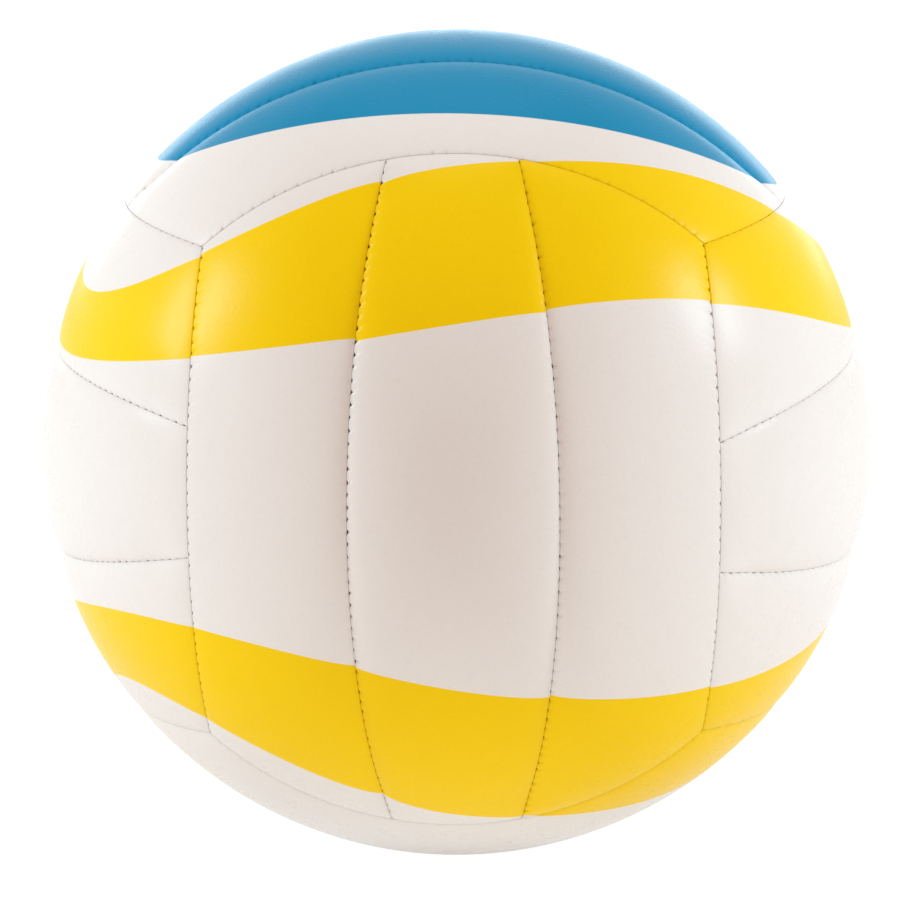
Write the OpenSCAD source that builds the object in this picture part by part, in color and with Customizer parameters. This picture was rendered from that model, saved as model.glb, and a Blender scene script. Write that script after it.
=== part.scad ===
// Beach volleyball: six groups of three stitched panels around an inflated bladder.
// The origin is the centre of the ball, +Z is up and the front group faces -Y.

/* [Ball] */
// Distance around the inflated ball
ball_circumference = 670; // [650:1:680]

/* [Panel layout] */
// Angle at the ball's centre from a group's middle to its long edge, at mid length
group_half_angle = 37.5; // [35:0.5:39]
// Angle at the ball's centre from a group's middle to its inner seams, at mid length
middle_panel_half_angle = 14; // [11:0.5:17]
// Lean of the left group's inner seams: they are sewn a little askew on this ball
left_seam_lean = 3; // [-4:0.5:4]

/* [Cover] */
// Thickness of the synthetic leather
leather_thickness = 0.6; // [0.4:0.1:1]
// Width of the bevel where a panel rolls over into its turned edge
edge_bevel = 0.5; // [0.2:0.1:1]
// How far a turned edge stands in past the lining
turned_edge_lip = 1; // [0.5:0.1:2]

/* [Backing] */
// Thickness of the foam behind each panel
foam_thickness = 2; // [1:0.1:4]
// Thickness of the cloth behind the foam
lining_thickness = 0.4; // [0.2:0.1:1]
// Thickness of a glue line between two layers
glue_line = 0.1; // [0.05:0.05:0.2]

/* [Stitching] */
// Diameter of the seam thread
thread_diameter = 0.6; // [0.4:0.1:1]
// Room on each side of the thread, between the two turned edges
thread_play = 0.1; // [0.05:0.05:0.2]
// Depth of the middle of the thread below the ball's surface
thread_depth = 1.5; // [1.2:0.1:2.5]

/* [Bladder] */
// Thickness of the rubber bladder
bladder_thickness = 0.7; // [0.5:0.1:1.5]
// Room between the bladder and what surrounds it
bladder_room = 0.3; // [0.1:0.1:0.6]

/* [Valve] */
// Diameter of the guide hole for the inflating needle
needle_hole_diameter = 2.2; // [1.8:0.1:2.6]
// Depth of the guide hole
needle_hole_depth = 6; // [4:0.5:9]
// Width of the countersink at the mouth of the guide hole
needle_mouth_width = 0.4; // [0.2:0.1:0.6]
// Rubber around the guide hole, in the neck of the valve core
core_wall = 1.4; // [1:0.1:2]
// Length of the core's neck, from its top to its bulb
core_neck_length = 7; // [6:0.5:9]
// How far the core's bulb stands out from its neck
core_bulb_step = 1.2; // [0.6:0.1:2]
// Length of the core's bulb
core_bulb_length = 4; // [3:0.5:6]
// Length of the core's tapered tip
core_tip_length = 4; // [3:0.5:6]
// Room around the valve core in its boot
core_play = 0.1; // [0.05:0.05:0.2]
// How far the top of the core lies below the head of the boot
core_recess = 0.3; // [0.1:0.1:0.6]
// Rubber around the neck of the core, at the head of the boot
boot_head_wall = 1.4; // [1:0.1:2]
// Rubber around the bulb of the core, in the stem of the boot
boot_stem_wall = 1.7; // [1:0.1:3]
// Rubber below the bulb of the core
boot_floor = 2; // [1:0.5:3]
// Width of the boot's flange around its stem
boot_flange_width = 7.5; // [5:0.5:10]
// Thickness of the boot's flange
boot_flange_thickness = 1.2; // [0.8:0.1:2]
// How far the head of the boot lies below the ball's surface
boot_recess = 0.7; // [0.3:0.1:1]
// Room around the head of the boot in each layer that it passes through
boot_room = 0.3; // [0.1:0.1:0.5]
// Width of the reinforcing patch around the boot
patch_width = 13; // [8:1:16]
// Thickness of the reinforcing patch
patch_thickness = 0.8; // [0.4:0.1:1.2]

/* [Hidden] */
$fn = 128;

// Facets around the thread, enough for a true round section
THREAD_FACETS = 36;

// Ball and layers, each as a radius from the ball's centre
ball_radius = ball_circumference / (2 * PI);
foam_outer = ball_radius - leather_thickness - glue_line;
foam_inner = foam_outer - foam_thickness;
lining_outer = foam_inner - glue_line;
lining_inner = lining_outer - lining_thickness;
turned_edge_inner = lining_inner - turned_edge_lip;
patch_outer = lining_inner - glue_line;
patch_inner = patch_outer - patch_thickness;
bladder_outer = min(turned_edge_inner, patch_inner) - bladder_room;
bladder_inner = bladder_outer - bladder_thickness;
flange_outer = bladder_inner - glue_line;
flange_inner = flange_outer - boot_flange_thickness;

// Seams: the long edge of a group is the circle through two cube corners and its
// middle, so three groups meet at each corner. An inner seam is a great circle.
corner_share = 1 / sqrt(3);
edge_slope_share = (sin(group_half_angle) - corner_share) / (cos(group_half_angle) - corner_share);
edge_offset_share = corner_share * (1 - edge_slope_share);
edge_tilt = atan(edge_slope_share);
edge_angle = acos(edge_offset_share * cos(edge_tilt));
great_circle_angle = 90;
seam_gap = thread_diameter + 2 * thread_play;

// Half of a long edge's arc, as an angle about the edge's own axis
edge_half_arc = asin(corner_share / sin(edge_angle));

// A thread stops short of the seam that it runs into
thread_stop = arc_angle(seam_gap / 2 + thread_diameter);

// The turned edges along a group's long edge lie on cones whose tips are a little
// behind the ball's centre, so they stand nearly square to the ball's surface
cone_tip_share = 0.12;
cone_tip_back = cone_tip_share * ball_radius;
edge_circle_radius = ball_radius * sin(edge_angle);
edge_circle_height = ball_radius * cos(edge_angle) + cone_tip_back;
edge_slant = norm([edge_circle_radius, edge_circle_height]);
edge_thread_share = (edge_slant - thread_depth) / edge_slant;

// Cutters reach well outside the ball
cutter_reach_share = 1.2;
cutter_reach = cutter_reach_share * ball_radius;

// Layers of one strip stay clear of the turned edge around them
backing_inset = seam_gap / 2 + leather_thickness + glue_line;

// Valve, as heights above the ball's centre and radii about its own axis
needle_radius = needle_hole_diameter / 2;
core_radius = needle_radius + core_wall;
core_bulb_radius = core_radius + core_bulb_step;
core_bore_radius = core_radius + core_play;
core_chamber_radius = core_bulb_radius + core_play;
boot_head_radius = core_bore_radius + boot_head_wall;
boot_stem_radius = core_chamber_radius + boot_stem_wall;
boot_flange_radius = boot_stem_radius + boot_flange_width;
boot_hole_radius = boot_head_radius + boot_room;
patch_radius = boot_hole_radius + patch_width;
boot_top = ball_radius - boot_recess;
core_top = boot_top - core_recess;
core_bulb_top = core_top - core_neck_length;
core_bulb_bottom = core_bulb_top - core_bulb_length;
core_bottom = core_bulb_bottom - core_tip_length;
boot_bottom = core_bulb_bottom - core_play - boot_floor;

// Colours, as the photo shows them
white_leather = [0.96, 0.94, 0.92];
blue_leather = [0.0, 0.55, 0.76];
foam_grey = [0.82, 0.82, 0.8];
cloth_cream = [0.9, 0.87, 0.78];
thread_dark = [0.25, 0.22, 0.2];
rubber_black = [0.08, 0.08, 0.08];
rubber_grey = [0.35, 0.35, 0.36];

// Each group: its name, the turn that puts it in place from +Z, the names of its two
// outer strips, the colour of its leather and the lean of its inner seams
GROUPS = [
    ["front", [90, 0, 0], ["left", "right"], white_leather, 0],
    ["back", [90, 0, 180], ["right", "left"], white_leather, 0],
    ["left", [0, -90, 0], ["lower", "upper"], white_leather, left_seam_lean],
    ["right", [0, 90, 0], ["upper", "lower"], white_leather, 0],
    ["top", [0, 0, -90], ["back", "front"], blue_leather, 0],
    ["bottom", [180, 0, 90], ["front", "back"], white_leather, 0],
];
STRIPS = [-1, 0, 1];
SIDES = [-1, 1];
VALVE_GROUP = "back";

function group_name(group) = group[0];
function group_turn(group) = group[1];
function group_leather(group) = group[3];
function group_lean(group) = group[4];
function strip_name(group, strip) = strip == 0 ? "middle" : group[2][strip < 0 ? 0 : 1];
function panel_node(group, strip) = str(group_name(group), "_", strip_name(group, strip), "_panel");
function foam_node(group, strip) = str(group_name(group), "_", strip_name(group, strip), "_foam");
function lining_node(group) = str(group_name(group), "_lining");
function stitching_node(group) = str(group_name(group), "_stitching");
function has_valve(group, strip) = group_name(group) == VALVE_GROUP && strip == 0;

// The angle at the ball's centre that a length on its surface covers
function arc_angle(length) = length / ball_radius * 180 / PI;

// The angle from the middle of an inner seam to the group's end where it stops. The
// side is that of the seam and end is that of the group's end, 1 or -1 each.
function inner_seam_arc(side, end, lean) =
    let(along_share = edge_slope_share * cos(lean))
    let(lean_share = edge_slope_share * sin(middle_panel_half_angle) * sin(lean))
    let(out_share = cos(middle_panel_half_angle) - side * end * lean_share)
    acos(edge_offset_share / norm([out_share, along_share])) - atan(along_share / out_share);

// Puts a shape that faces +Z on its group's side of the ball
module in_group(group) {
    rotate(group_turn(group)) children();
}

// Turns a shape about +Z so that its axis is that of a group's long edge on one side
module about_long_edge(side) {
    mirror([side < 0 ? 1 : 0, 0, 0]) rotate([0, 90 + edge_tilt, 0]) children();
}

// Turns a shape about +Z so that its axis is that of an inner seam on one side
module about_inner_seam(side, lean) {
    rotate([0, 0, lean]) mirror([side < 0 ? 1 : 0, 0, 0])
        rotate([0, 90 + middle_panel_half_angle, 0]) children();
}

// Turns a shape about +Z so that its axis is that of the seam at a group's end
module about_end_edge(side) {
    rotate([side * edge_tilt, 0, 0]) children();
}

// A cone about +Z through the long edge of a group, widened by inset at the surface
module edge_cone(inset) {
    angle = edge_angle + arc_angle(inset);
    length = cutter_reach + cone_tip_back;
    slope_share = sin(angle) / (cos(angle) + cone_tip_share);
    translate([0, 0, -cone_tip_back]) cylinder(h = length, r1 = 0, r2 = length * slope_share);
}

// A block with one face on an inner seam, moved across it by offset. It fills the
// seam's outer side, from there to well outside the ball.
module past_inner_seam(side, offset, lean) {
    about_inner_seam(side, lean)
        translate([-cutter_reach, -cutter_reach, offset])
            cube([2 * cutter_reach, 2 * cutter_reach, cutter_reach]);
}

// A spherical layer of a whole group, drawn in from the seams at its ends by inset
module group_layer(outer, inner, inset) {
    intersection() {
        intersection() {
            difference() {
                sphere(r = outer);
                sphere(r = inner);
            }
            about_end_edge(1) edge_cone(-inset);
        }
        about_end_edge(-1) edge_cone(-inset);
    }
}

// The middle strip of a group's layer, between its two inner seams
module middle_strip_layer(lean, outer, inner, inset) {
    difference() {
        group_layer(outer, inner, inset);
        past_inner_seam(1, -inset, lean);
        past_inner_seam(-1, -inset, lean);
    }
}

// An outer strip of a group's layer, between an inner seam and the group's long edge
module outer_strip_layer(strip, lean, outer, inner, inset) {
    difference() {
        intersection() {
            group_layer(outer, inner, inset);
            past_inner_seam(strip, inset, lean);
        }
        about_long_edge(strip) edge_cone(inset);
    }
}

// One strip of a spherical layer, drawn in from its four seams by inset
module strip_layer(strip, lean, outer, inner, inset) {
    if (strip == 0) middle_strip_layer(lean, outer, inner, inset);
    if (strip != 0) outer_strip_layer(strip, lean, outer, inner, inset);
}

// A ring that bevels the edges of the two panels along one seam
module seam_bevel(seam_angle) {
    half_width = edge_bevel + seam_gap / 2;
    rotate_extrude()
        rotate(-seam_angle) translate([0, ball_radius])
            polygon([[0, -half_width], [2 * half_width, half_width], [-2 * half_width, half_width]]);
}

// The hole that the head of the valve boot passes through
module valve_hole() {
    cylinder(h = cutter_reach, r = boot_hole_radius);
}

// Leather panel: a shallow tray whose edges are turned inwards for the seam
module cover_panel(group, strip) {
    lean = group_lean(group);
    tray_inset = seam_gap / 2 + leather_thickness;
    tray_bottom = turned_edge_inner - bladder_room;
    color(group_leather(group)) difference() {
        strip_layer(strip, lean, ball_radius, turned_edge_inner, seam_gap / 2);
        strip_layer(strip, lean, ball_radius - leather_thickness, tray_bottom, tray_inset);
        about_end_edge(1) seam_bevel(edge_angle);
        about_end_edge(-1) seam_bevel(edge_angle);
        about_inner_seam(strip == 0 ? 1 : strip, lean) seam_bevel(great_circle_angle);
        if (strip == 0) about_inner_seam(-1, lean) seam_bevel(great_circle_angle);
        if (strip != 0) about_long_edge(strip) seam_bevel(edge_angle);
        if (has_valve(group, strip)) valve_hole();
    }
}

// Foam pad glued into the panel's tray
module foam_backing(group, strip) {
    color(foam_grey) difference() {
        strip_layer(strip, group_lean(group), foam_outer, foam_inner, backing_inset);
        if (has_valve(group, strip)) valve_hole();
    }
}

// Woven cloth glued behind the foam, one piece for each strip of the group
module cloth_lining(group) {
    color(cloth_cream) for (strip = STRIPS) {
        difference() {
            strip_layer(strip, group_lean(group), lining_outer, lining_inner, backing_inset);
            if (has_valve(group, strip)) valve_hole();
        }
    }
}

// One run of thread along a seam: an arc of the given radius, raised along its axis,
// that reaches from the middle of the seam by one angle to each end of the group
module seam_thread(radius, height, arcs) {
    rotate([0, 0, 180 - arcs[0]]) rotate_extrude(angle = arcs[0] + arcs[1])
        translate([radius, height]) circle(d = thread_diameter, $fn = THREAD_FACETS);
}

// The four runs of thread of one group: its two inner seams and its two long edges
module stitching(group) {
    lean = group_lean(group);
    edge_arc = edge_half_arc - thread_stop / sin(edge_angle);
    color(thread_dark) for (side = SIDES) {
        about_inner_seam(side, lean)
            seam_thread(ball_radius - thread_depth, 0,
                [for (end = [1, -1]) inner_seam_arc(side, end, lean) - thread_stop]);
        about_long_edge(side)
            seam_thread(edge_circle_radius * edge_thread_share,
                edge_circle_height * edge_thread_share - cone_tip_back,
                [edge_arc, edge_arc]);
    }
}

// Inflated rubber bladder, open where the valve boot passes through
module bladder() {
    color(rubber_black) difference() {
        sphere(r = bladder_outer);
        sphere(r = bladder_inner);
        valve_hole();
    }
}

// Round cloth patch that reinforces the lining around the valve
module valve_patch() {
    color(cloth_cream) difference() {
        intersection() {
            difference() {
                sphere(r = patch_outer);
                sphere(r = patch_inner);
            }
            cylinder(h = cutter_reach, r = patch_radius);
        }
        valve_hole();
    }
}

// Round room for the valve core, from the head of the boot to its stem's end
module core_room() {
    translate([0, 0, boot_bottom - core_tip_length])
        cylinder(h = boot_top - boot_bottom + 2 * core_tip_length, r = core_bore_radius);
    translate([0, 0, core_bulb_bottom - core_play])
        cylinder(h = core_bulb_length + 2 * core_play, r = core_chamber_radius);
}

// Rubber boot: a flange glued inside the bladder, a head that reaches the cover, and
// a stem that holds the valve core
module valve_boot() {
    color(rubber_grey) difference() {
        union() {
            translate([0, 0, boot_bottom]) cylinder(h = boot_top - boot_bottom, r = boot_head_radius);
            translate([0, 0, boot_bottom]) cylinder(h = flange_inner - boot_bottom, r = boot_stem_radius);
            intersection() {
                difference() {
                    sphere(r = flange_outer);
                    sphere(r = flange_inner);
                }
                cylinder(h = cutter_reach, r = boot_flange_radius);
            }
        }
        core_room();
    }
}

// Rubber plug with a guide hole for the needle; its bulb keeps it in the boot
module valve_core() {
    color(rubber_black) difference() {
        rotate_extrude() polygon([
            [0, core_bottom],
            [needle_radius, core_bottom],
            [core_radius, core_bulb_bottom],
            [core_bulb_radius, core_bulb_bottom],
            [core_bulb_radius, core_bulb_top],
            [core_radius, core_bulb_top],
            [core_radius, core_top],
            [0, core_top],
        ]);
        translate([0, 0, core_top - needle_hole_depth])
            cylinder(h = needle_hole_depth + core_recess, r = needle_radius);
        translate([0, 0, core_top - needle_mouth_width])
            cylinder(h = 2 * needle_mouth_width, r1 = needle_radius,
                r2 = needle_radius + 2 * needle_mouth_width);
    }
}

// Puts a valve piece, built along +Z, in the middle of its group
module at_valve() {
    for (group = GROUPS) if (group_name(group) == VALVE_GROUP) in_group(group) children();
}

for (group = GROUPS, strip = STRIPS) {
    in_group(group) cover_panel(group, strip);
    in_group(group) foam_backing(group, strip);
}
for (group = GROUPS) {
    in_group(group) cloth_lining(group);
    in_group(group) stitching(group);
}
at_valve() bladder();
at_valve() valve_patch();
at_valve() valve_boot();
at_valve() valve_core();
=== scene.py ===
"""Beach volleyball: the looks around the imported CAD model, in metres, with +Z up.

The ball's centre is the origin, the front group of panels faces -Y and the valve +Y.
"""

import logging
import math
import random
from dataclasses import dataclass
from enum import Enum
from typing import Iterator, Sequence, Union

import bmesh
import bpy
import numpy as np
from bmesh.types import BMEdge, BMesh, BMVert
from bpy.types import Material, Mesh, NodeSocket, NodeTree, Object
from mathutils import Euler, Matrix, Vector


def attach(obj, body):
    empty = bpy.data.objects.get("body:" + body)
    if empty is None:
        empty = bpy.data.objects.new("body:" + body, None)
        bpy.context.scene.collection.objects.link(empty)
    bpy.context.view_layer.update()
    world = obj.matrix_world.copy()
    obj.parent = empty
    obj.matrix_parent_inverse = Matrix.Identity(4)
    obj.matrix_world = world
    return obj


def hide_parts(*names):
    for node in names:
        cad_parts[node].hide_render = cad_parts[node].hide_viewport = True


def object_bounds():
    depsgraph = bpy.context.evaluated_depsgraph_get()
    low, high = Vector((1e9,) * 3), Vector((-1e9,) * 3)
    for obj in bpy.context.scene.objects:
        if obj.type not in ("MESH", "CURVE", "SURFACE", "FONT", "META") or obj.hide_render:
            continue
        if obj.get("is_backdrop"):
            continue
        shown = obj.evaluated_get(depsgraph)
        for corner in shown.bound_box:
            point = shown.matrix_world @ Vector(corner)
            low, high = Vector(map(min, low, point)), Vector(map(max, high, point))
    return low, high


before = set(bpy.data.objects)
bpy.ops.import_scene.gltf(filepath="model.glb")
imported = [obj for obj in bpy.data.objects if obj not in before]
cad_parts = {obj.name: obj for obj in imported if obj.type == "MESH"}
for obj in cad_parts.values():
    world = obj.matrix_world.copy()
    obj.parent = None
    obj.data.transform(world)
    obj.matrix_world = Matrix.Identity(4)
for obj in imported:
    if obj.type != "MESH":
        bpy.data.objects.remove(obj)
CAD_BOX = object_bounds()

log = logging.getLogger("volleyball")

MM = 0.001
MERGE_DISTANCE = 0.002 * MM
Array = np.ndarray
Colour = tuple[float, float, float]
Place = tuple[float, float]


class Group(Enum):
    """Six groups of three strips: name, turn in degrees, and the names of the strips."""

    FRONT = ("front", (90, 0, 0), ("left", "middle", "right"))
    BACK = ("back", (90, 0, 180), ("right", "middle", "left"))
    LEFT = ("left", (0, -90, 0), ("lower", "middle", "upper"))
    RIGHT = ("right", (0, 90, 0), ("upper", "middle", "lower"))
    TOP = ("top", (0, 0, -90), ("back", "middle", "front"))
    BOTTOM = ("bottom", (180, 0, 90), ("front", "middle", "back"))

    @property
    def label(self) -> str:
        """The group's name in the CAD model."""
        return self.value[0]

    @property
    def turn(self) -> Matrix:
        """The turn from the group's own frame, in which it faces +Z."""
        return Euler([math.radians(angle) for angle in self.value[1]], "XYZ").to_matrix()

    @property
    def pulls(self) -> tuple[float, float]:
        """How hard the thread pulls on the near and the far leather of the group's own seams."""
        firm = {"left": (0.8, 0.2), "right": (0.8, 0.2), "top": (1.0, 1.0)}
        return firm.get(self.label, (1.0, 0.3))

    @property
    def rounding(self) -> float:
        """Radius of the leather's turned edges in mm, less where the panels are drawn tight."""
        return {"left": 0.2, "right": 0.2, "bottom": 0.26}.get(self.label, 0.34)

    def strip_label(self, strip: "Strip") -> str:
        """The strip's name in the CAD model."""
        return self.value[2][strip.value + 1]


class Strip(Enum):
    """A strip's place in its group, across it."""

    LOW = -1
    MIDDLE = 0
    HIGH = 1


@dataclass(frozen=True)
class SeamPlane:
    """A plane that cuts the ball along one seam, in a group's own frame.

    normal is its direction and offset its distance from the centre in ball radii.
    """

    normal: Array
    offset: float

    def moved(self, arcs: Array) -> Array:
        """The plane's offset after a move over the ball, along its normal, by arcs in radians."""
        return np.cos(math.acos(self.offset) - arcs)


@dataclass(frozen=True)
class Layout:
    """Where the seams lie: the CAD model's own values, in metres and radians."""

    girth: float = 0.670
    group_half_angle: float = math.radians(37.5)
    middle_half_angle: float = math.radians(14.0)
    left_lean: float = math.radians(3.0)

    @property
    def radius(self) -> float:
        """The ball's radius."""
        return self.girth / (2 * math.pi)

    def edge_terms(self) -> tuple[float, float, float]:
        """Terms of the plane through a long edge, whose ends are a cube's corners.

        Returns:
            Its slope, the length of its normal before that is made a unit vector, and its offset.
        """
        corner = 1 / math.sqrt(3)
        slope = ((math.sin(self.group_half_angle) - corner)
                 / (math.cos(self.group_half_angle) - corner))
        length = math.hypot(1, slope)
        return slope, length, (1 - slope) / math.sqrt(3) / length

    def edge(self, across: Sequence[float], side: int) -> SeamPlane:
        """A group's outer edge.

        Args:
            across: Unit vector across the group towards the edge.
            side: 1 for a normal that points out of the group, -1 for one that points into it.

        Returns:
            The plane of that edge.
        """
        slope, length, offset = self.edge_terms()
        normal = np.array([*across, -slope]) / length
        return SeamPlane(normal * side, offset * side)

    def inner_seam(self, group: Group, side: int) -> SeamPlane:
        """The seam between the middle strip and the strip on one side of it."""
        lean = self.left_lean if group is Group.LEFT else 0.0
        across, rise = math.cos(self.middle_half_angle), math.sin(self.middle_half_angle)
        normal = [math.cos(lean) * across, math.sin(lean) * across, -side * rise]
        return SeamPlane(np.array(normal), 0.0)

    def sides(self, group: Group, strip: Strip) -> tuple[SeamPlane, SeamPlane]:
        """The seams along a strip's two long sides, both with normals across the group."""
        edges = self.edge((-1, 0), -1), self.edge((1, 0), 1)
        seams = self.inner_seam(group, -1), self.inner_seam(group, 1)
        return {
            Strip.LOW: (edges[0], seams[0]),
            Strip.MIDDLE: seams,
            Strip.HIGH: (seams[1], edges[1]),
        }[strip]

    def ends(self) -> tuple[SeamPlane, SeamPlane]:
        """The near and the far end of each strip, with normals into the group.

        They are the long edges of the neighbouring groups.
        """
        slope, length, offset = self.edge_terms()
        near, far = (SeamPlane(np.array([0, way * slope, 1]) / length, offset) for way in (1, -1))
        return near, far


@dataclass(frozen=True)
class SeamCircle:
    """The circle in which a seam's plane cuts the unit ball, one row for each point."""

    centre: Array
    radius: Array
    outward: Array
    onward: Array

    @classmethod
    def of(cls, normal: Array, offset: Array) -> "SeamCircle":
        """The circles of planes with these normals and offsets."""
        outward = np.array([0.0, 0.0, 1.0]) - normal * normal[:, 2:3]
        outward /= np.linalg.norm(outward, axis=1, keepdims=True)
        return cls(normal * offset[:, None], np.sqrt(1 - offset ** 2), outward,
                   np.cross(outward, normal))

    def meets(self, end: SeamPlane, arcs: Array, way: int) -> Array:
        """Angles along the circles at which they meet a strip's end.

        Args:
            end: The plane of the strip's end.
            arcs: How far the end is drawn in at each point, in radians.
            way: 1 for the far end and -1 for the near end.

        Returns:
            One angle for each point, from the circle's highest point.
        """
        rise, run = self.outward @ end.normal, self.onward @ end.normal
        reach = (end.moved(arcs) - self.centre @ end.normal) / (self.radius * np.hypot(rise, run))
        return np.arctan2(run, rise) + way * np.arccos(reach)

    def point(self, angle: Array) -> Array:
        """Points at these angles along the circles."""
        sweep = np.cos(angle)[:, None] * self.outward + np.sin(angle)[:, None] * self.onward
        return self.centre + self.radius[:, None] * sweep

    def heading(self, angle: float) -> Vector:
        """The direction of the first circle at this angle."""
        return Vector(np.cos(angle) * self.onward[0] - np.sin(angle) * self.outward[0])


def finished(bm: BMesh, name: str, smooth: bool = True) -> Object:
    """Turns a bmesh into an object at the origin.

    Args:
        bm: The mesh, in the ball's own frame. It is freed.
        name: The piece's name.
        smooth: Whether its faces are shaded smooth.

    Returns:
        The object, linked to the scene.
    """
    mesh = bpy.data.meshes.new(name)
    bm.to_mesh(mesh)
    bm.free()
    mesh.polygons.foreach_set("use_smooth", [smooth] * len(mesh.polygons))
    piece = bpy.data.objects.new(name, mesh)
    bpy.context.scene.collection.objects.link(piece)
    return piece


def settled(piece: Object) -> None:
    """Applies a piece's modifiers to its mesh."""
    graph = bpy.context.evaluated_depsgraph_get()
    mesh = bpy.data.meshes.new_from_object(piece.evaluated_get(graph))
    piece.modifiers.clear()
    old, piece.data = piece.data, mesh
    bpy.data.meshes.remove(old)


def stand_in(piece: Object, material: Material, node: str) -> None:
    """Gives a piece its material, and lets it stand for a CAD node of the ball's one body."""
    piece.data.materials.append(material)
    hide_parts(node)
    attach(piece, "root")


def turned_part(profile: Sequence[Place], rounding: float, steps: int = 48) -> BMesh:
    """A part turned about +Y from a closed half profile.

    Args:
        profile: Corners (distance from the axis, height along +Y), in metres.
        rounding: How much each corner is rounded.
        steps: Steps of the full turn.

    Returns:
        The closed mesh.
    """
    bm = bmesh.new()
    corners = [bm.verts.new((across, height, 0)) for across, height in profile]
    for start, stop in zip(corners, corners[1:] + corners[:1]):
        bm.edges.new((start, stop))
    rounded = [corner for corner in corners if corner.co.x > rounding]
    bmesh.ops.bevel(bm, geom=rounded, offset=rounding, offset_type="OFFSET", segments=3,
                    profile=0.5, affect="VERTICES", material=-1)
    bmesh.ops.spin(bm, geom=bm.verts[:] + bm.edges[:], axis=(0, 1, 0), cent=(0, 0, 0),
                   angle=2 * math.pi, steps=steps, use_merge=True)
    bmesh.ops.remove_doubles(bm, verts=bm.verts[:], dist=MERGE_DISTANCE)
    bmesh.ops.dissolve_degenerate(bm, edges=bm.edges[:], dist=MERGE_DISTANCE)
    bmesh.ops.recalc_face_normals(bm, faces=bm.faces[:])
    return bm


@dataclass(frozen=True)
class Signal:
    """A value that changes over a surface, whose sums are written as Python expressions."""

    recipe: "Recipe"
    socket: NodeSocket

    def maths(self, operation: str, *values: "Amount", clamp: bool = False) -> "Signal":
        """A Math node on these values."""
        settings = {"operation": operation, "use_clamp": clamp}
        return self.recipe.node("ShaderNodeMath", settings, dict(enumerate(values)))

    def sibling(self, outlet: Union[int, str]) -> "Signal":
        """Another output of the same node."""
        return Signal(self.recipe, self.recipe.find(self.socket.node.outputs, outlet))

    def __add__(self, other: "Amount") -> "Signal":
        """self + other."""
        return self.maths("ADD", self, other)

    def __radd__(self, other: "Amount") -> "Signal":
        """other + self."""
        return self.maths("ADD", other, self)

    def __sub__(self, other: "Amount") -> "Signal":
        """self - other."""
        return self.maths("SUBTRACT", self, other)

    def __rsub__(self, other: "Amount") -> "Signal":
        """other - self."""
        return self.maths("SUBTRACT", other, self)

    def __mul__(self, other: "Amount") -> "Signal":
        """self * other."""
        return self.maths("MULTIPLY", self, other)

    def __rmul__(self, other: "Amount") -> "Signal":
        """other * self."""
        return self.maths("MULTIPLY", other, self)

    def __truediv__(self, other: "Amount") -> "Signal":
        """self / other."""
        return self.maths("DIVIDE", self, other)

    def __rtruediv__(self, other: "Amount") -> "Signal":
        """other / self."""
        return self.maths("DIVIDE", other, self)

    def __pow__(self, other: "Amount") -> "Signal":
        """self to the power other."""
        return self.maths("POWER", self, other)

    def cos(self) -> "Signal":
        """The cosine of an angle in radians."""
        return self.maths("COSINE", self)

    def sin(self) -> "Signal":
        """The sine of an angle in radians."""
        return self.maths("SINE", self)

    def clamped(self) -> "Signal":
        """Held between 0 and 1."""
        return self.maths("ADD", self, 0.0, clamp=True)

    def least(self, other: "Amount") -> "Signal":
        """The smaller of two values."""
        return self.maths("MINIMUM", self, other)

    def most(self, other: "Amount") -> "Signal":
        """The larger of two values."""
        return self.maths("MAXIMUM", self, other)

    def fade(self, reach: float) -> "Signal":
        """Falls from 1 at 0 by a factor e for each reach."""
        return self.maths("EXPONENT", self * (-1 / reach))

    def above(self, edge: float, softness: float) -> "Signal":
        """A mask that goes from 0 to 1 across the edge."""
        return ((self - edge) / softness + 0.5).clamped()


Amount = Union[Signal, float, Sequence[float]]


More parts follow.
